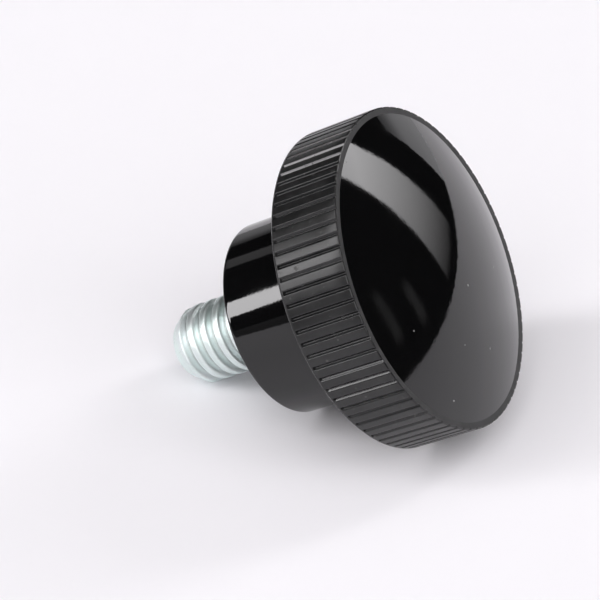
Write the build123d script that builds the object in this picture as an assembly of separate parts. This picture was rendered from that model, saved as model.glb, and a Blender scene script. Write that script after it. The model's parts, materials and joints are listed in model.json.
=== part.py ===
from build123d import *
import os
from math import atan2, cos, degrees, radians, sin

# A moulded, straight-knurled hand knob with a steel stud moulded into its hub, lying as it comes to
# rest: on the back edge of its rim and the tip of its stud. Millimetres, +Z up, and the origin on
# the floor under the middle of the part. The knob's axis leans up towards +X.
# Each piece is drawn upright about Z first, with the hub's end face at zero and the dome on top.

# Head: a plain band with V grooves, a flat land on its front and a shallow dome inside the land
head_diameter = 25.4
band_width = 5.85
land_width = 0.56
dome_height = 2.4
front_chamfer = 0.12
back_chamfer = 0.13

# Knurling: the grooves are open at the front and stop short of the back edge, at the parting line
groove_count = 80
groove_width = 0.36
groove_depth = 0.15
parting_ring = 0.26

# Hub
hub_diameter = 15.4
hub_length = 8.4
hub_end_chamfer = 0.2
hub_root_chamfer = 0.3

# Stud: a 1/4-20 thread, drawn as a plain rod at its major diameter, which runs out to a neck in the hub
thread_diameter = 6.35
stud_reach = 9.1
tip_chamfer_length = 1.3
tip_chamfer_depth = 0.85
neck_diameter = 5.5
run_out = 0.9

# Anchor: the stud's serrated end inside the moulding, waisted so that it can't pull out
anchor_diameter = 9.0
anchor_start = 3.6
anchor_end = 9.6
waist_diameter = 7.2
waist_width = 1.6
anchor_chamfer = 0.4
serration_count = 20
serration_width = 0.7
serration_depth = 0.4

head_radius = head_diameter / 2
hub_radius = hub_diameter / 2
thread_radius = thread_diameter / 2
neck_radius = neck_diameter / 2
anchor_radius = anchor_diameter / 2
waist_radius = waist_diameter / 2
front_height = hub_length + band_width
dome_radius = head_radius - land_width


def vee(outer_radius, width, depth, low, high):
    """One straight V groove along Z, cut into a round of outer_radius, between two heights."""
    overshoot = 2
    half_mouth = width / 2 * overshoot
    root = outer_radius - depth
    mouth = root + depth * overshoot
    section = make_face(Polyline((root, 0), (mouth, -half_mouth), (mouth, half_mouth), close=True))
    return extrude(Pos(0, 0, low) * section, high - low)


def around_axis(cutter, count):
    """Equally spaced copies round Z, the first of them on the X axis."""
    return [place * cutter for place in PolarLocations(0, count)]


def dome():
    """A shallow cap of a sphere, whose poles are turned to the sides, away from the cap."""
    sphere_radius = (dome_radius**2 + dome_height**2) / (2 * dome_height)
    ball = Pos(0, 0, dome_height - sphere_radius) * Rot(90, 0, 0) * Sphere(sphere_radius)
    above_the_land = Cylinder(dome_radius, sphere_radius, align=(Align.CENTER, Align.CENTER, Align.MIN))
    return Pos(0, 0, front_height) * (above_the_land & ball)


def moulding_blank():
    """The hub and head as one turned form, with the dome on its front."""
    section = make_face(
        Polyline(
            (0, 0),
            (hub_radius - hub_end_chamfer, 0),
            (hub_radius, hub_end_chamfer),
            (hub_radius, hub_length - hub_root_chamfer),
            (hub_radius + hub_root_chamfer, hub_length),
            (head_radius - back_chamfer, hub_length),
            (head_radius, hub_length + back_chamfer),
            (head_radius, front_height - front_chamfer),
            (head_radius - front_chamfer, front_height),
            (0, front_height),
            close=True,
        )
    )
    return revolve(Plane.XZ * section, Axis.Z) + dome()


def upright_stud():
    """The threaded end as a plain chamfered rod, running into the serrated anchor."""
    middle = (anchor_start + anchor_end) / 2
    waist_low = middle - waist_width / 2
    waist_high = middle + waist_width / 2
    section = make_face(
        Polyline(
            (0, -stud_reach),
            (thread_radius - tip_chamfer_depth, -stud_reach),
            (thread_radius, tip_chamfer_length - stud_reach),
            (thread_radius, 0),
            (neck_radius, run_out),
            (neck_radius, anchor_start),
            (anchor_radius - anchor_chamfer, anchor_start),
            (anchor_radius, anchor_start + anchor_chamfer),
            (anchor_radius, waist_low),
            (waist_radius, waist_low),
            (waist_radius, waist_high),
            (anchor_radius, waist_high),
            (anchor_radius, anchor_end - anchor_chamfer),
            (anchor_radius - anchor_chamfer, anchor_end),
            (0, anchor_end),
            close=True,
        )
    )
    turned = revolve(Plane.XZ * section, Axis.Z)
    serration = vee(anchor_radius, serration_width, serration_depth, anchor_start, anchor_end)
    return turned - around_axis(serration, serration_count)


def upright_knob(stud):
    """The moulding, with its knurling and the hollow that its stud fills."""
    groove = vee(head_radius, groove_width, groove_depth, hub_length + parting_ring, front_height)
    return moulding_blank() - around_axis(groove, groove_count) - stud


def resting_tilt():
    """The axis' angle above the floor when the band's back edge and the stud's tip both touch it."""
    along = hub_length + back_chamfer + stud_reach - tip_chamfer_length
    return degrees(atan2(head_radius - thread_radius, along))


def hub_clearance(tilt):
    """How far the hub's end edge stays above the floor."""
    lean = radians(tilt)
    floor_below = thread_radius * cos(lean) + (stud_reach - tip_chamfer_length) * sin(lean)
    return floor_below - hub_radius * cos(lean) + hub_end_chamfer * sin(lean)


stud = upright_stud()
knob = upright_knob(stud)
tilt = resting_tilt()
lean_over = Rot(0, 90 - tilt, 0)
box = Compound([lean_over * knob, lean_over * stud]).bounding_box()
onto_floor = Pos(-box.center().X, -box.center().Y, -box.min.Z)

os.makedirs("parts", exist_ok=True)
for name, piece in {"knob_moulding": knob, "threaded_stud": stud}.items():
    placed = onto_floor * lean_over * piece
    placed.label = name
    export_step(placed, f"parts/{name}.step")

print("tilt of the axis", round(tilt, 3), "hub above the floor", round(hub_clearance(tilt), 3))
print("size", box.size, "stud axis at the hub face", (onto_floor * lean_over).position)
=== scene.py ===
import json
from math import asin, cos, degrees, radians, sin, sqrt, tau
from random import Random

import bmesh
import bpy
from bpy.props import FloatProperty, FloatVectorProperty, IntProperty, PointerProperty
from mathutils import Matrix, Vector


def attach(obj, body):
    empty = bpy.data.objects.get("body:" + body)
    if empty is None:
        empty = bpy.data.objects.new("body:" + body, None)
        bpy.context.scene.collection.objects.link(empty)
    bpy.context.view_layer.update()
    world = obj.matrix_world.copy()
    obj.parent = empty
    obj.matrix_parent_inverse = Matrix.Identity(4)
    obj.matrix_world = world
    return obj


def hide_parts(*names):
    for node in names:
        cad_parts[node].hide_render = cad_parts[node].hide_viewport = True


bl_info = {
    "name": "Knurled knob",
    "version": (1, 0, 0),
    "blender": (4, 5, 0),
    "location": "View3D > Sidebar > Knob",
    "description": "Builds a moulded knurled knob with a threaded stud, and the table it lies on",
    "category": "Object",
}

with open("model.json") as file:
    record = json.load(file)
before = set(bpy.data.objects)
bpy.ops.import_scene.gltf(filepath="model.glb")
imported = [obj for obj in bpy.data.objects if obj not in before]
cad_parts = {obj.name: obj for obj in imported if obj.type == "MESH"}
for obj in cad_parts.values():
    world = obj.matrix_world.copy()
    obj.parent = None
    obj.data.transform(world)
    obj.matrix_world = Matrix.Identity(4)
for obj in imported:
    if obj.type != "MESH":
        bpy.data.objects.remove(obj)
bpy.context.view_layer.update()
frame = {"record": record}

MM = 0.001

# The axis of the knob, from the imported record: the stud's mount is on the hub's end face
STUD_MOUNT = next(mount for mount in frame["record"]["mounts"] if mount["name"] == "stud")
HUB_FACE = Vector(STUD_MOUNT["pos_m"])
TOWARDS_DOME = -Vector(STUD_MOUNT["axis"]).normalized()
ACROSS = Vector((0.0, 1.0, 0.0))
DOWNWARDS = ACROSS.cross(TOWARDS_DOME)
LEAN = asin(TOWARDS_DOME.z)
KNOB_AXES = Matrix((DOWNWARDS, ACROSS, TOWARDS_DOME)).transposed().to_4x4()
UPRIGHT_TO_LYING = Matrix.Translation(HUB_FACE) @ KNOB_AXES


def length(name, description, default):
    """A setting for a length, in metres."""
    return FloatProperty(name=name, description=description, default=default, unit="LENGTH")


def light_level(name, description, default):
    """A setting for the level of one light."""
    return FloatProperty(name=name, description=description, default=default, min=0.0)


def plain_colour(name, description, default):
    """A setting for a colour."""
    return FloatVectorProperty(
        name=name, description=description, default=default, size=3, min=0.0, max=1.0, subtype="COLOR"
    )


class KnobSizes(bpy.types.PropertyGroup):
    """Sizes of the moulding, measured square to its axis and along it."""

    head_diameter: length("Head diameter", "Across the crests of the knurling", 25.4 * MM)
    band_width: length("Band width", "Knurled band, from its back edge to the land", 5.85 * MM)
    land_width: length("Land width", "Flat ring between the band and the dome", 0.56 * MM)
    dome_height: length("Dome height", "Rise of the dome above the land", 2.4 * MM)
    hub_diameter: length("Hub diameter", "Across the plain hub", 15.4 * MM)
    hub_length: length("Hub length", "From the hub's end face to the head", 8.4 * MM)
    groove_count: IntProperty(name="Grooves", description="V grooves round the band", default=80, min=12)
    groove_width: length("Groove width", "Across the mouth of one V groove", 0.36 * MM)
    groove_depth: length("Groove depth", "From the crest to the root of a groove", 0.15 * MM)
    parting_ring: length("Parting ring", "Plain edge behind the grooves", 0.26 * MM)
    moulding_colour: plain_colour("Moulding colour", "Black of the moulding", (0.0028, 0.0028, 0.003))
    worn_colour: plain_colour("Worn colour", "Dull grey of rubbed and dusty places", (0.024, 0.024, 0.024))


class StudSizes(bpy.types.PropertyGroup):
    """Sizes and colour of the threaded stud."""

    thread_diameter: length("Thread diameter", "Across the crests of the thread", 6.35 * MM)
    pitch: length("Pitch", "From one crest to the next", 1.27 * MM)
    reach: length("Reach", "How far the stud stands out of the hub", 9.1 * MM)
    chamfer_length: length("Tip chamfer", "Length of the chamfer at the tip", 1.3 * MM)
    chamfer_depth: length("Tip chamfer depth", "How much the chamfer takes off the radius", 0.85 * MM)
    plate_colour: plain_colour("Plate colour", "Zinc plate", (0.80, 0.89, 0.87))


class StageSettings(bpy.types.PropertyGroup):
    """The table, the soft light and the camera."""

    floor_colour: plain_colour("Floor colour", "Faintly lilac white paper", (0.935, 0.922, 0.950))
    top_light: light_level("Top light", "Level of the soft light overhead", 0.4)
    back_box: light_level("Back light box", "Level of the tall light box behind the dome", 5.2)
    front_box: light_level("Front light box", "Level of the narrow light box beside the hub", 9.2)
    front_fill: light_level("Front fill", "Level of the broad soft light on the camera's side", 1.9)
    lens: FloatProperty(
        name="Lens", description="Focal length of the camera, in millimetres", default=156.0, min=1.0
    )


def rings_to_object(name, skin):
    """A mesh object of the skin, laid down as the knob lies, with outward faces."""
    mesh = bpy.data.meshes.new(name)
    mesh.from_pydata(skin.points, [], skin.faces)
    mesh.polygons.foreach_set("material_index", skin.finishes)
    mesh.polygons.foreach_set("use_smooth", [True] * len(skin.faces))
    shell = bmesh.new()
    shell.from_mesh(mesh)
    bmesh.ops.recalc_face_normals(shell, faces=shell.faces)
    for edge in shell.edges:
        if edge.verts[0].index in skin.creased and edge.verts[1].index in skin.creased:
            edge.smooth = False
    shell.to_mesh(mesh)
    shell.free()
    mesh.transform(UPRIGHT_TO_LYING)
    piece = bpy.data.objects.new(name, mesh)
    bpy.context.scene.collection.objects.link(piece)
    return piece


class TurnedSkin:
    """Rings of points round the upright axis, each joined to the next."""

    def __init__(self):
        self.points = []
        self.faces = []
        self.finishes = []
        self.creased = set()

    def ring(self, points, crease=False):
        """Adds one ring of points and returns their numbers."""
        first = len(self.points)
        self.points.extend(points)
        numbers = list(range(first, len(self.points)))
        if crease:
            self.creased.update(numbers)
        return numbers

    def circle(self, radius, height, count, crease=False):
        """A plain ring of equally spaced points."""
        turns = [tau * step / count for step in range(count)]
        return self.ring([(radius * cos(turn), radius * sin(turn), height) for turn in turns], crease)

    def join(self, rings, finish):
        """Faces between each ring and the next. Two rings may differ by a whole multiple of points."""
        for low, high in zip(rings, rings[1:]):
            fine, coarse = (low, high) if len(low) >= len(high) else (high, low)
            share = len(fine) // len(coarse)
            for step, corner in enumerate(coarse):
                following = coarse[(step + 1) % len(coarse)]
                run = [fine[(step * share + offset) % len(fine)] for offset in range(share + 1)]
                middle = share // 2
                for offset in range(share):
                    if offset == middle:
                        self.add_face((corner, run[offset], run[offset + 1], following), finish)
                    else:
                        held = corner if offset < middle else following
                        self.add_face((held, run[offset], run[offset + 1]), finish)

    def close(self, ring, height, finish):
        """A fan from a ring to one point on the axis."""
        (centre,) = self.ring([(0.0, 0.0, height)])
        for step, corner in enumerate(ring):
            self.add_face((corner, ring[(step + 1) % len(ring)], centre), finish)

    def add_face(self, corners, finish):
        """One face with the number of its finish."""
        self.faces.append(corners)
        self.finishes.append(finish)


POLISHED, LAND, KNURLED, BACK = range(4)
PLAIN_COLUMNS = 320
BAND_ROWS = 6
# How far the lips and roots of the grooves are rounded
LIP_SOFTENING = 0.034 * MM
# Where the columns of a groove stand, in shares of its half width: close together at the root and the lip
GROOVE_SHARES = (0.12, 0.22, 0.7, 0.8, 0.9, 1.0, 1.1, 1.21, 1.4)


def groove_depth_at(offset, width, depth):
    """How far the V groove's section lies below the crest, with softened lips and root."""
    shifts = [share * LIP_SOFTENING for share in (-1.0, -0.5, 0.0, 0.5, 1.0)]
    levels = [max(0.0, 1.0 - abs(offset + shift) / (width / 2)) for shift in shifts]
    return depth * sum(levels) / len(levels)


def band_columns(sizes, cutters):
    """The angle of each column of the band, with its groove and its offset from the groove's middle."""
    pitch_angle = tau / sizes.groove_count
    radius = sizes.head_diameter / 2
    half_pitch = pitch_angle * radius / 2
    columns = []
    for groove, (width, _, sway) in enumerate(cutters):
        side = [width / 2 * share for share in GROOVE_SHARES]
        offsets = [*[-offset for offset in reversed(side)], 0.0, *side]
        for offset in offsets:
            columns.append((groove * pitch_angle + (offset + sway) / radius, groove, offset))
        columns.append((groove * pitch_angle + half_pitch / radius, groove, half_pitch))
    return columns


def band_ring(skin, sizes, columns, cutters, height, plain_radius, share, crease=False):
    """One ring of the band: the crests at plain_radius, and a share of each groove's depth."""
    head_radius = sizes.head_diameter / 2
    points = []
    for angle, groove, offset in columns:
        width, depth, _ = cutters[groove]
        groove_bottom = head_radius - share * groove_depth_at(offset, width, depth)
        radius = min(plain_radius, groove_bottom)
        points.append((radius * cos(angle), radius * sin(angle), height))
    return skin.ring(points, crease)


def arc_steps(centre, radius, start, end, count):
    """Radius and height of points along an arc of the section, angles in degrees."""
    steps = []
    for step in range(count + 1):
        turn = radians(start + (end - start) * step / count)
        steps.append((centre[0] + radius * cos(turn), centre[1] + radius * sin(turn)))
    return steps


def dome_sphere(sizes):
    """Radius of the sphere that the dome is a cap of, and the height of its centre."""
    dome_radius = sizes.head_diameter / 2 - sizes.land_width
    radius = (dome_radius**2 + sizes.dome_height**2) / (2 * sizes.dome_height)
    front = sizes.hub_length + sizes.band_width
    return radius, front + sizes.dome_height - radius


def moulding_skin(sizes):
    """The whole moulding as one closed skin, from the hole round the stud to the top of the dome."""
    skin = TurnedSkin()
    chance = Random(5)
    head_radius = sizes.head_diameter / 2
    hub_radius = sizes.hub_diameter / 2
    hub_length = sizes.hub_length
    front = hub_length + sizes.band_width
    hole_radius = 3.22 * MM
    hole_depth = 0.9 * MM
    hole_chamfer = 0.12 * MM
    hub_end_round = 0.22 * MM
    hub_root_round = 0.35 * MM
    back_edge = 0.13 * MM
    front_edge = 0.12 * MM
    run_out = 0.04 * MM
    # The last plain ring of the back and the first of the land, and the band's rings next to them
    back_inset = 0.9 * MM
    back_rim_inset = 0.5 * MM
    land_inset = 0.36 * MM
    land_rim_inset = 0.2 * MM

    # The blind hole that hugs the stud, with a small chamfer at its mouth, then the hub's end face
    bottom = skin.circle(hole_radius, hole_depth, PLAIN_COLUMNS, crease=True)
    skin.close(bottom, hole_depth, BACK)
    mouth = skin.circle(hole_radius, hole_chamfer, PLAIN_COLUMNS)
    lip = skin.circle(hole_radius + hole_chamfer, 0.0, PLAIN_COLUMNS, crease=True)
    hub_round = arc_steps((hub_radius - hub_end_round, hub_end_round), hub_end_round, -90, 0, 5)
    hub_end = [skin.circle(radius, height, PLAIN_COLUMNS) for radius, height in hub_round]
    skin.join([bottom, mouth, lip], BACK)
    skin.join([lip, hub_end[0]], BACK)
    skin.join(hub_end, POLISHED)

    # The hub's side, the small round at its root and the back of the head
    root_round = arc_steps(
        (hub_radius + hub_root_round, hub_length - hub_root_round), hub_root_round, 180, 90, 5
    )
    root = [skin.circle(radius, height, PLAIN_COLUMNS) for radius, height in root_round]
    side_length = hub_length - hub_end_round - hub_root_round
    side = [
        skin.circle(hub_radius, hub_end_round + side_length * share, PLAIN_COLUMNS)
        for share in (0.02, 0.35, 0.65, 0.98)
    ]
    skin.join([hub_end[-1], *side, *root], POLISHED)
    back_face = skin.circle(head_radius - back_inset, hub_length, PLAIN_COLUMNS)
    skin.join([root[-1], back_face], BACK)

    # The band: each groove differs a little in width, depth and place, as moulded ones do. Rounding the
    # root takes about a tenth off the depth, and most cutters reach deeper by more than that
    cutters = [
        (
            sizes.groove_width * chance.uniform(0.93, 1.07),
            sizes.groove_depth * chance.uniform(1.1, 1.4),
            chance.uniform(-0.008, 0.008) * MM,
        )
        for _ in range(sizes.groove_count)
    ]
    columns = band_columns(sizes, cutters)
    grooves_start = hub_length + sizes.parting_ring

    def rim_ring(radius, height, share=0.0, crease=False):
        return band_ring(skin, sizes, columns, cutters, height, radius, share, crease)

    back_rim = [
        rim_ring(head_radius - back_rim_inset, hub_length),
        rim_ring(head_radius - back_edge, hub_length),
        rim_ring(head_radius - back_edge / 2, hub_length + back_edge / 2),
        rim_ring(head_radius, hub_length + back_edge),
    ]
    skin.join([back_face, back_rim[0]], BACK)
    skin.join(back_rim, KNURLED)
    ring_top = rim_ring(head_radius, grooves_start, crease=True)
    skin.join([back_rim[-1], ring_top], KNURLED)
    band_top = front - front_edge
    band = []
    for row in range(BAND_ROWS + 1):
        height = grooves_start + run_out + (band_top - grooves_start - run_out) * row / BAND_ROWS
        band.append(rim_ring(head_radius, height, 1.0, crease=row == 0))
    skin.join([ring_top, *band], KNURLED)
    front_rim = [
        rim_ring(head_radius - front_edge * inside, front - front_edge * below, 1.0)
        for inside, below in ((0.15, 0.35), (0.5, 0.08), (1.0, 0.0))
    ]
    skin.join([band[-1], *front_rim], KNURLED)

    # The flat land, where the columns thin out, and the dome
    dome_radius = head_radius - sizes.land_width
    land_outer = rim_ring(head_radius - land_rim_inset, front)
    land_middle = skin.circle(head_radius - land_inset, front, PLAIN_COLUMNS)
    land_inner = skin.circle(dome_radius, front, PLAIN_COLUMNS, crease=True)
    skin.join([front_rim[-1], land_outer, land_middle, land_inner], LAND)
    sphere_radius, sphere_centre = dome_sphere(sizes)
    edge_slope = asin(dome_radius / sphere_radius)
    dome = [land_inner]
    dome_rings = 40
    for step in range(1, dome_rings):
        slope = edge_slope * (1.0 - step / dome_rings)
        dome.append(
            skin.circle(sphere_radius * sin(slope), sphere_centre + sphere_radius * cos(slope), PLAIN_COLUMNS)
        )
    skin.join(dome, POLISHED)
    skin.close(dome[-1], front + sizes.dome_height, POLISHED)
    return skin


THREAD_COLUMNS = 128
THREAD_ROWS = 184
# Depth of the rolled grooves, in shares of the pitch
THREAD_DEPTH = 0.42
# How far a flank runs along the axis for its depth, at the thread's half angle of 30 degrees
FLANK_RUN = 0.5774
# One place in the middle of the thread's groove: its height, and its angle from the downward side in degrees
GROOVE_PLACE = -6.085 * MM
GROOVE_ANGLE = -109.8


def thread_radius_at(height, angle, sizes):
    """Radius of the rolled thread, with broad plated crests and narrow roots, before the tip's chamfer."""
    pitch = sizes.pitch
    outer = sizes.thread_diameter / 2
    depth = THREAD_DEPTH * pitch
    root_half = pitch / 20
    flank = depth * FLANK_RUN
    softening = 0.075 * MM
    along = height - GROOVE_PLACE - pitch * (angle - radians(GROOVE_ANGLE)) / tau
    place = abs((along / pitch + 0.5) % 1.0 - 0.5) * pitch
    total = 0.0
    for share in (-1.0, -0.5, 0.0, 0.5, 1.0):
        rise = (abs(place + share * softening) - root_half) / flank
        total += min(max(rise, 0.0), 1.0)
    return outer - depth + depth * total / 5.0


def stud_skin(sizes):
    """The stud as one closed skin, from inside the hub's hole to the rough tip."""
    skin = TurnedSkin()
    chance = Random(11)
    outer = sizes.thread_diameter / 2
    tip = -sizes.reach
    inside = 0.85 * MM
    tip_radius = outer - sizes.chamfer_depth
    tip_roughness = 0.035 * MM
    dimple_radius = tip_radius * 0.55
    dimple_edge = 0.12 * MM
    dimple_depth = 0.2 * MM
    rings = []
    for row in range(THREAD_ROWS + 1):
        height = tip + (inside - tip) * row / THREAD_ROWS
        along_chamfer = (height - tip) / sizes.chamfer_length
        cone = tip_radius + sizes.chamfer_depth * min(along_chamfer, 1.0)
        points = []
        for column in range(THREAD_COLUMNS):
            angle = tau * column / THREAD_COLUMNS
            radius = min(thread_radius_at(height, angle, sizes), cone)
            if along_chamfer < 1.0:
                radius -= chance.uniform(0.0, tip_roughness)
            points.append((radius * cos(angle), radius * sin(angle), height))
        rings.append(skin.ring(points, crease=row in (0, THREAD_ROWS)))
    skin.join(rings, 0)
    dimple = skin.circle(dimple_radius, tip + dimple_edge, THREAD_COLUMNS)
    skin.join([rings[0], dimple], 0)
    skin.close(dimple, tip + dimple_depth, 0)
    skin.close(rings[-1], inside, 0)
    return skin


class Signal:
    """A node's output that can be used in Python sums."""

    def __init__(self, tree, socket):
        self.tree = tree
        self.socket = socket

    def __add__(self, other):
        return self.tree.maths("ADD", self, other)

    def __sub__(self, other):
        return self.tree.maths("SUBTRACT", self, other)

    def __mul__(self, other):
        return self.tree.maths("MULTIPLY", self, other)

    def __truediv__(self, other):
        return self.tree.maths("DIVIDE", self, other)

    def __pow__(self, other):
        return self.tree.maths("POWER", self, other)

    def __lt__(self, other):
        return self.tree.maths("LESS_THAN", self, other)

    __radd__ = __add__
    __rmul__ = __mul__

    def __rsub__(self, other):
        return self.tree.maths("SUBTRACT", other, self)

    def __rtruediv__(self, other):
        return self.tree.maths("DIVIDE", other, self)

    def smooth(self, low, high):
        """0 below low, 1 above high and a soft step between them."""
        ends = {"Value": self, "From Min": low, "From Max": high}
        return self.tree.signal("MapRange", "Result", {"interpolation_type": "SMOOTHSTEP"}, ends)


class ShaderTree:
    """Adds nodes to a material's or world's tree, one call a node."""

    def __init__(self, owner):
        owner.use_nodes = True
        self.tree = owner.node_tree
        self.tree.nodes.clear()

    def add(self, kind, settings=None, inputs=None):
        """A node with its settings, and its inputs given as values or signals."""
        node = self.tree.nodes.new("ShaderNode" + kind)
        for name, setting in (settings or {}).items():
            setattr(node, name, setting)
        for name, value in (inputs or {}).items():
            if isinstance(value, Signal):
                self.tree.links.new(value.socket, node.inputs[name])
            else:
                node.inputs[name].default_value = value
        return node

    def signal(self, kind, output, settings=None, inputs=None):
        """One output of a new node."""
        node = self.add(kind, settings, inputs)
        return Signal(self, node.outputs[output])

    def maths(self, operation, *terms):
        """A Math node with the terms plugged in order."""
        return self.signal("Math", 0, {"operation": operation}, dict(enumerate(terms)))

    def axes(self, vector):
        """The X, Y and Z of a vector."""
        parts = self.add("SeparateXYZ", None, {"Vector": vector})
        return [Signal(self, parts.outputs[axis]) for axis in "XYZ"]

    def from_axis(self, place):
        """Distance from the axis of the upright knob."""
        across, along, _ = self.axes(place)
        return (across * across + along * along) ** 0.5

    def mix_colours(self, factor, low, high):
        """A Mix node between two colours."""
        return self.signal("Mix", 2, {"data_type": "RGBA"}, {0: factor, 6: four(low), 7: four(high)})

    def upright_place(self):
        """The place on the knob as it stands on its hub: the axis is Z, from the hub's end face."""
        lying = self.signal("TexCoord", "Object")
        inputs = {"Vector": lying, "Location": HUB_FACE, "Rotation": (0.0, radians(90.0) - LEAN, 0.0)}
        return self.signal("Mapping", "Vector", {"vector_type": "TEXTURE"}, inputs)

    def noise(self, place, scale, detail=2.0, roughness=0.5):
        """Noise with features of about 1 / scale metres."""
        inputs = {"Vector": place, "Scale": scale, "Detail": detail, "Roughness": roughness}
        return self.signal("TexNoise", "Fac", None, inputs)

    def surface(self, **inputs):
        """The principled shader and the material's output."""
        named = {name.replace("_", " "): value for name, value in inputs.items()}
        shader = self.signal("BsdfPrincipled", 0, None, named)
        self.add("OutputMaterial", None, {"Surface": shader})

    def bump(self, height, distance, strength=1.0):
        """A Bump node's normal, the height in shares of the distance."""
        inputs = {"Height": height, "Distance": distance, "Strength": strength}
        return self.signal("Bump", "Normal", None, inputs)


def four(colour):
    """A colour with its alpha, unless it's a signal already."""
    return colour if isinstance(colour, Signal) else (*colour, 1.0)


DUST_GREY = (0.42, 0.42, 0.41)
CHIP_GREY = (0.12, 0.12, 0.115)
PIT_GREY = (0.34, 0.35, 0.34)
# Colour of the painted shade in the thread roots
ROOT_SHADE_GREY = (0.13, 0.14, 0.14)
PALE_ZINC = (0.80, 0.82, 0.84)
UNLIT_PAPER = (0.02, 0.02, 0.02)

# Specks of dust on the dome: angle in degrees, distance from the axis and radius in millimetres
DOME_DUST = ((-44.03, 10.85, 0.09), (-39.89, 6.67, 0.06), (-83.13, 8.86, 0.06))
# Small chips on the band: angle in degrees, height above the hub's end face and radius in millimetres
BAND_CHIPS = (
    (-123.79, 10.27, 0.16),
    (-91.35, 10.09, 0.1),
    (-74.05, 11.19, 0.09),
    (-53.13, 8.81, 0.11),
    (-97.01, 11.74, 0.07),
)


def mark(tree, place, angle, out, height, radius):
    """1 inside a ragged spot about a place on the upright knob, and 0 outside it. Lengths are in metres."""
    edge_noise = 9000.0
    centre = (out * cos(radians(angle)), out * sin(radians(angle)), height)
    apart = tree.signal("VectorMath", "Vector", {"operation": "SUBTRACT"}, {0: place, 1: centre})
    gap = tree.signal("VectorMath", "Value", {"operation": "LENGTH"}, {0: apart})
    return gap + (tree.noise(place, edge_noise, 1.0) - 0.5) * radius < radius


def dust_specks(tree, place, scale, share):
    """1 on sparse small specks, and 0 elsewhere."""
    speck_radius = 0.16
    cells = tree.add("TexVoronoi", None, {"Vector": place, "Scale": scale})
    near = Signal(tree, cells.outputs["Distance"]) < speck_radius
    chosen = tree.signal("SeparateColor", 0, None, {0: Signal(tree, cells.outputs["Color"])})
    return near * (chosen < share)


def polished_moulding(sizes):
    """Glossy black with a faint ripple, fine haze and a little dust."""
    material = bpy.data.materials.new("polished_moulding")
    tree = ShaderTree(material)
    place = tree.upright_place()
    haze = tree.noise(place, 260.0, 4.0)
    dust = dust_specks(tree, place, 1500.0, 0.006)
    sphere_radius, sphere_centre = dome_sphere(sizes)
    for angle, out, radius in DOME_DUST:
        height = sphere_centre + sqrt(sphere_radius**2 - (out * MM) ** 2)
        dust = dust + mark(tree, place, angle, out * MM, height, radius * MM)
    ripple = tree.noise(place, 420.0, 1.0) + tree.noise(place, 3200.0, 2.0) * 0.4
    tree.surface(
        Base_Color=tree.mix_colours(dust * 0.5, sizes.moulding_colour, DUST_GREY),
        Roughness=0.035 + haze.smooth(0.45, 0.8) * 0.05 + dust * 0.4,
        IOR=1.55,
        Normal=tree.bump(ripple, 0.004 * MM),
    )
    return material


def land_moulding(sizes):
    """The land, rubbed to a dull grey."""
    material = bpy.data.materials.new("rubbed_land")
    tree = ShaderTree(material)
    place = tree.upright_place()
    wear = tree.noise(place, 900.0, 4.0, 0.6)
    tree.surface(
        Base_Color=tree.mix_colours(wear.smooth(0.2, 0.7), sizes.moulding_colour, sizes.worn_colour),
        Roughness=0.36 + wear * 0.15,
        IOR=1.5,
        Normal=tree.bump(tree.noise(place, 5200.0, 3.0), 0.004 * MM),
    )
    return material


def knurled_moulding(sizes):
    """Satin black with fine pits, small chips and dust. The crests are rubbed duller than the grooves."""
    material = bpy.data.materials.new("knurled_moulding")
    tree = ShaderTree(material)
    place = tree.upright_place()
    crest_radius = sizes.head_diameter / 2
    grain = tree.noise(place, 4200.0, 3.0, 0.6)
    patches = tree.noise(place, 520.0, 3.0, 0.6)
    chips = tree.noise(place, 2300.0, 2.0).smooth(0.68, 0.74)
    for angle, height, radius in BAND_CHIPS:
        chips = chips + mark(tree, place, angle, crest_radius, height * MM, radius * MM) * 2.0
    dulled = patches.smooth(0.3, 0.75) * 0.35 + grain.smooth(0.35, 0.8) * 0.15
    rubbed_from = crest_radius - 0.03 * MM
    rubbed_to = crest_radius - 0.004 * MM
    crest = tree.from_axis(place).smooth(rubbed_from, rubbed_to)
    dusty = tree.mix_colours(dulled, sizes.moulding_colour, sizes.worn_colour)
    tree.surface(
        Base_Color=tree.mix_colours(chips * 0.25, dusty, CHIP_GREY),
        Roughness=0.15 + crest * 0.13 + dulled * 0.16 + chips * 0.2,
        IOR=1.5,
        Normal=tree.bump(grain - chips * 1.5, 0.0012 * MM),
    )
    return material


def back_moulding(sizes):
    """The unseen back faces, as they left the mould, with faint turned rings."""
    material = bpy.data.materials.new("back_moulding")
    tree = ShaderTree(material)
    place = tree.upright_place()
    radians_per_metre = 42000.0
    rings = tree.maths("SINE", tree.from_axis(place) * radians_per_metre)
    cloud = tree.noise(place, 600.0, 4.0)
    tree.surface(
        Base_Color=tree.mix_colours(cloud.smooth(0.35, 0.8) * 0.5, sizes.moulding_colour, sizes.worn_colour),
        Roughness=0.16 + cloud * 0.14,
        IOR=1.52,
        Normal=tree.bump(rings * 0.3 + cloud, 0.003 * MM),
    )
    return material


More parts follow.
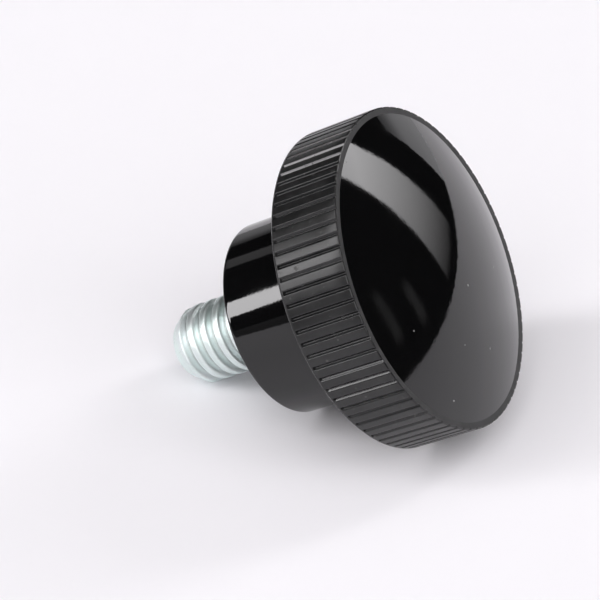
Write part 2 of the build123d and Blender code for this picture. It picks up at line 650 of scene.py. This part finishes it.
def zinc_plate(sizes):
    """Bright zinc over a rolled thread: faintly teal in places, frosted by fine pits, with painted shade in
    the roots.
    """
    material = bpy.data.materials.new("zinc_plate")
    tree = ShaderTree(material)
    place = tree.upright_place()
    cloud = tree.noise(place, 420.0, 3.0, 0.6)
    grain = tree.noise(place, 5200.0, 4.0, 0.65)
    height = tree.axes(place)[2]
    tip = -sizes.reach
    roughened = 1.0 - height.smooth(tip + sizes.chamfer_length * 0.8, tip + sizes.chamfer_length * 1.25)
    crest = sizes.thread_diameter / 2
    depth = THREAD_DEPTH * sizes.pitch
    root = 1.0 - tree.from_axis(place).smooth(crest - depth, crest - depth * 0.7)
    # Painted shade: the colour darkens in the thread roots, away from the tip's chamfer, patchy with the
    # cloud
    root_shade = root * (1.0 - roughened) * (0.55 + 0.45 * cloud.smooth(0.3, 0.6))
    tint = tree.mix_colours(cloud.smooth(0.4, 0.7) * 0.6, sizes.plate_colour, PALE_ZINC)
    pits = grain.smooth(0.58, 0.72)
    pitted = tree.mix_colours(pits * (0.2 + roughened * 0.45), tint, PIT_GREY)
    tree.surface(
        Base_Color=tree.mix_colours(root_shade * 0.6, pitted, ROOT_SHADE_GREY),
        Metallic=1.0,
        Roughness=0.37 + cloud * 0.12 + roughened * 0.12,
        Normal=tree.bump(grain, 0.008 * MM, 0.8),
    )
    return material


# Where the lit paper ends, as reflections show it: its compass angle in degrees, distance and soft edge
PAPER_END_COMPASS = -125.0
PAPER_END = 0.1
PAPER_END_BLUR = 0.01


def floor_paper(colour):
    """Smooth white paper with the faintest mottle. Reflections show where the lit paper ends on the left."""
    material = bpy.data.materials.new("floor_paper")
    tree = ShaderTree(material)
    place = tree.signal("TexCoord", "Object")
    mottle = tree.noise(place, 90.0, 5.0, 0.6)
    darker = [channel * 0.985 for channel in colour]
    paper = tree.mix_colours(mottle, darker, colour)
    east, north, _ = tree.axes(place)
    compass = radians(PAPER_END_COMPASS)
    leftward = east * cos(compass) + north * sin(compass)
    past_end = leftward.smooth(PAPER_END - PAPER_END_BLUR, PAPER_END + PAPER_END_BLUR)
    unlit = past_end * tree.signal("LightPath", "Is Glossy Ray")
    tree.surface(
        Base_Color=tree.mix_colours(unlit, paper, UNLIT_PAPER),
        Roughness=0.75,
        IOR=1.3,
        Normal=tree.bump(tree.noise(place, 1600.0, 3.0), 0.01 * MM, 0.5),
    )
    return material


def pale_wall(colour, level):
    """The pale backdrop. Reflections see it fade to the left and towards its top, and the camera plain."""
    material = bpy.data.materials.new("pale_wall")
    tree = ShaderTree(material)
    place = tree.signal("TexCoord", "Object")
    east, _, up = tree.axes(place)
    mottle = tree.noise(place, 3.0, 2.0)
    glow = tree.mix_colours(mottle, [channel * 0.98 for channel in colour], colour)
    seen = tree.signal("LightPath", "Is Camera Ray")
    fade = (0.55 + 0.45 * east.smooth(-1.6, 0.9)) * (1.0 - 0.65 * up.smooth(0.4, 0.75))
    strength = level * fade + seen * (1.0 - level * fade)
    shader = tree.signal("Emission", 0, None, {"Color": glow, "Strength": strength})
    tree.add("OutputMaterial", None, {"Surface": shader})
    return material


def build_piece(name, node, skin, finishes):
    """A detailed piece in place of its CAD node, riding on the root."""
    piece = rings_to_object(name, skin)
    for finish in finishes:
        piece.data.materials.append(finish)
    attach(piece, "root")
    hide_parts(node)
    return piece


class KNOB_OT_moulding(bpy.types.Operator):
    """Build the moulding: hub, knurled band, land and dome"""

    bl_idname = "knob.moulding"
    bl_label = "Moulding"

    def execute(self, context):
        sizes = context.scene.knob_sizes
        finishes = [
            polished_moulding(sizes), land_moulding(sizes), knurled_moulding(sizes), back_moulding(sizes)
        ]
        build_piece("moulded_knob", "knob_moulding", moulding_skin(sizes), finishes)
        return {"FINISHED"}


class KNOB_OT_stud(bpy.types.Operator):
    """Build the rolled thread of the stud"""

    bl_idname = "knob.stud"
    bl_label = "Threaded stud"

    def execute(self, context):
        sizes = context.scene.stud_sizes
        build_piece("rolled_thread", "threaded_stud", stud_skin(sizes), [zinc_plate(sizes)])
        return {"FINISHED"}


# The round floor, and the backdrop that is seen and reflected between two compass angles in degrees
FLOOR_RADIUS = 3.0
WALL_RADIUS = 2.8
BACKDROP_START = 71.5
BACKDROP_END = 180.0
BACKDROP_HEIGHT = 0.75
BACKDROP_LEVEL = 0.9
# The rest of the wall, which only the camera sees
SURROUND_HEIGHT = 2.5
SURROUND_LEVEL = 1.0


def stage_mesh(name, points, faces, material):
    """A mesh that belongs to the stage."""
    mesh = bpy.data.meshes.new(name)
    mesh.from_pydata(points, [], faces)
    mesh.materials.append(material)
    piece = bpy.data.objects.new(name, mesh)
    bpy.context.scene.collection.objects.link(piece)
    return piece


def round_floor(material):
    """A wide round floor at table height."""
    count = 96
    turns = [tau * step / count for step in range(count)]
    points = [(FLOOR_RADIUS * cos(turn), FLOOR_RADIUS * sin(turn), 0.0) for turn in turns]
    return stage_mesh("floor", points, [tuple(range(count))], material)


def curved_wall(name, start, end, height, material):
    """An upright strip of backdrop between two compass angles, in degrees from +X."""
    steps = 48
    points = []
    for step in range(steps + 1):
        turn = radians(start + (end - start) * step / steps)
        points.append((WALL_RADIUS * cos(turn), WALL_RADIUS * sin(turn), 0.0))
        points.append((WALL_RADIUS * cos(turn), WALL_RADIUS * sin(turn), height))
    faces = [(step * 2, step * 2 + 2, step * 2 + 3, step * 2 + 1) for step in range(steps)]
    return stage_mesh(name, points, faces, material)


def studio_light(settings):
    """A dark studio with soft light overhead and in front, two upright light boxes and faint glints."""
    world = bpy.data.worlds.new("soft_studio")
    bpy.context.scene.world = world
    tree = ShaderTree(world)
    east, north, up = tree.axes(tree.signal("TexCoord", "Generated"))
    to_degrees = degrees(1.0)
    compass = tree.maths("ARCTAN2", north, east) * to_degrees
    height = tree.maths("ARCSINE", up) * to_degrees

    def between(signal, low, high, edge):
        return signal.smooth(low - edge, low + edge) * (1.0 - signal.smooth(high - edge, high + edge))

    def patch(start, end, side_edge, low, high, end_edge):
        """1 between two compass angles and two heights, with soft edges, all in degrees."""
        return between(compass, start, end, side_edge) * between(height, low, high, end_edge)

    # The back box brightens with height, up to this one
    full_height = 30.0
    rise = (tree.maths("MAXIMUM", height, 0.1) / full_height) ** 1.4
    brightening = tree.maths("MINIMUM", rise, 1.0)
    back_box = patch(46.5, 60.5, 0.5, 2.5, 52.0, 0.8) * brightening * settings.back_box
    front_box = patch(-150.6, -138.4, 0.4, 3.0, 60.0, 0.8) * settings.front_box
    front_fill = patch(-118.0, 4.0, 6.0, 12.0, 72.0, 8.0) * settings.front_fill
    left_glint = patch(160.0, 171.0, 1.0, 22.0, 29.0, 1.0) * 0.4
    streaks = (patch(18.5, 21.5, 1.0, 8.0, 20.0, 2.0) + patch(29.5, 32.5, 1.0, 5.0, 14.0, 2.0)) * 0.18
    overhead = height.smooth(42.0, 60.0) * settings.top_light
    dark_studio = 0.003
    level = overhead + back_box + front_box + front_fill + left_glint + streaks + dark_studio
    shader = tree.signal("Background", 0, None, {"Color": (1.0, 0.985, 1.0, 1.0), "Strength": level})
    tree.add("OutputWorld", None, {"Surface": shader})


def photo_camera(settings):
    """The camera at the photograph's viewing angle."""
    aim = Vector((-2.3785, -2.3797, 10.1095)) * MM
    compass = radians(-68.64)
    height = radians(30.73)
    distance = 199.35 * MM
    away = Vector((cos(compass) * cos(height), sin(compass) * cos(height), sin(height)))
    camera = bpy.data.objects.new("camera", bpy.data.cameras.new("camera"))
    bpy.context.scene.collection.objects.link(camera)
    camera.location = aim + away * distance
    camera.rotation_euler = (-away).to_track_quat("-Z", "Y").to_euler()
    camera.data.sensor_width = 36.0
    camera.data.lens = settings.lens
    camera.data.clip_start = 0.01
    camera.data.clip_end = 20.0
    bpy.context.scene.camera = camera


class KNOB_OT_stage(bpy.types.Operator):
    """Lay the paper floor, hang the backdrop, set the light and place the camera"""

    bl_idname = "knob.stage"
    bl_label = "Table and light"

    def execute(self, context):
        settings = context.scene.stage_settings
        colour = list(settings.floor_colour)
        round_floor(floor_paper(colour))
        backdrop_paint = pale_wall(colour, BACKDROP_LEVEL)
        curved_wall("backdrop", BACKDROP_START, BACKDROP_END, BACKDROP_HEIGHT, backdrop_paint)
        surround_paint = pale_wall(colour, SURROUND_LEVEL)
        surround = curved_wall(
            "surround", BACKDROP_END, BACKDROP_START + 360.0, SURROUND_HEIGHT, surround_paint
        )
        surround.visible_diffuse = False
        surround.visible_glossy = False
        surround.visible_transmission = False
        surround.visible_shadow = False
        studio_light(settings)
        photo_camera(settings)
        context.scene.view_settings.view_transform = "Standard"
        return {"FINISHED"}


class KNOB_PT_panel(bpy.types.Panel):
    """Buttons and sizes in the sidebar"""

    bl_idname = "KNOB_PT_panel"
    bl_label = "Knurled knob"
    bl_space_type = "VIEW_3D"
    bl_region_type = "UI"
    bl_category = "Knob"

    def draw(self, context):
        layout = self.layout
        for group in (context.scene.knob_sizes, context.scene.stud_sizes, context.scene.stage_settings):
            box = layout.box()
            for name in group.bl_rna.properties.keys():
                if name not in ("rna_type", "name"):
                    box.prop(group, name)
        for operator in (KNOB_OT_moulding, KNOB_OT_stud, KNOB_OT_stage):
            layout.operator(operator.bl_idname)


CLASSES = (KnobSizes, StudSizes, StageSettings, KNOB_OT_moulding, KNOB_OT_stud, KNOB_OT_stage, KNOB_PT_panel)


def register():
    """Registers the classes and hangs the settings on the scene."""
    for each in CLASSES:
        bpy.utils.register_class(each)
    bpy.types.Scene.knob_sizes = PointerProperty(type=KnobSizes)
    bpy.types.Scene.stud_sizes = PointerProperty(type=StudSizes)
    bpy.types.Scene.stage_settings = PointerProperty(type=StageSettings)


def unregister():
    """Takes the settings and classes away again."""
    del bpy.types.Scene.stage_settings
    del bpy.types.Scene.stud_sizes
    del bpy.types.Scene.knob_sizes
    for each in reversed(CLASSES):
        bpy.utils.unregister_class(each)


def main():
    """Builds the pieces and the stage."""
    register()
    bpy.ops.knob.stage()
    bpy.ops.knob.moulding()
    bpy.ops.knob.stud()


if __name__ == "__main__":
    main()
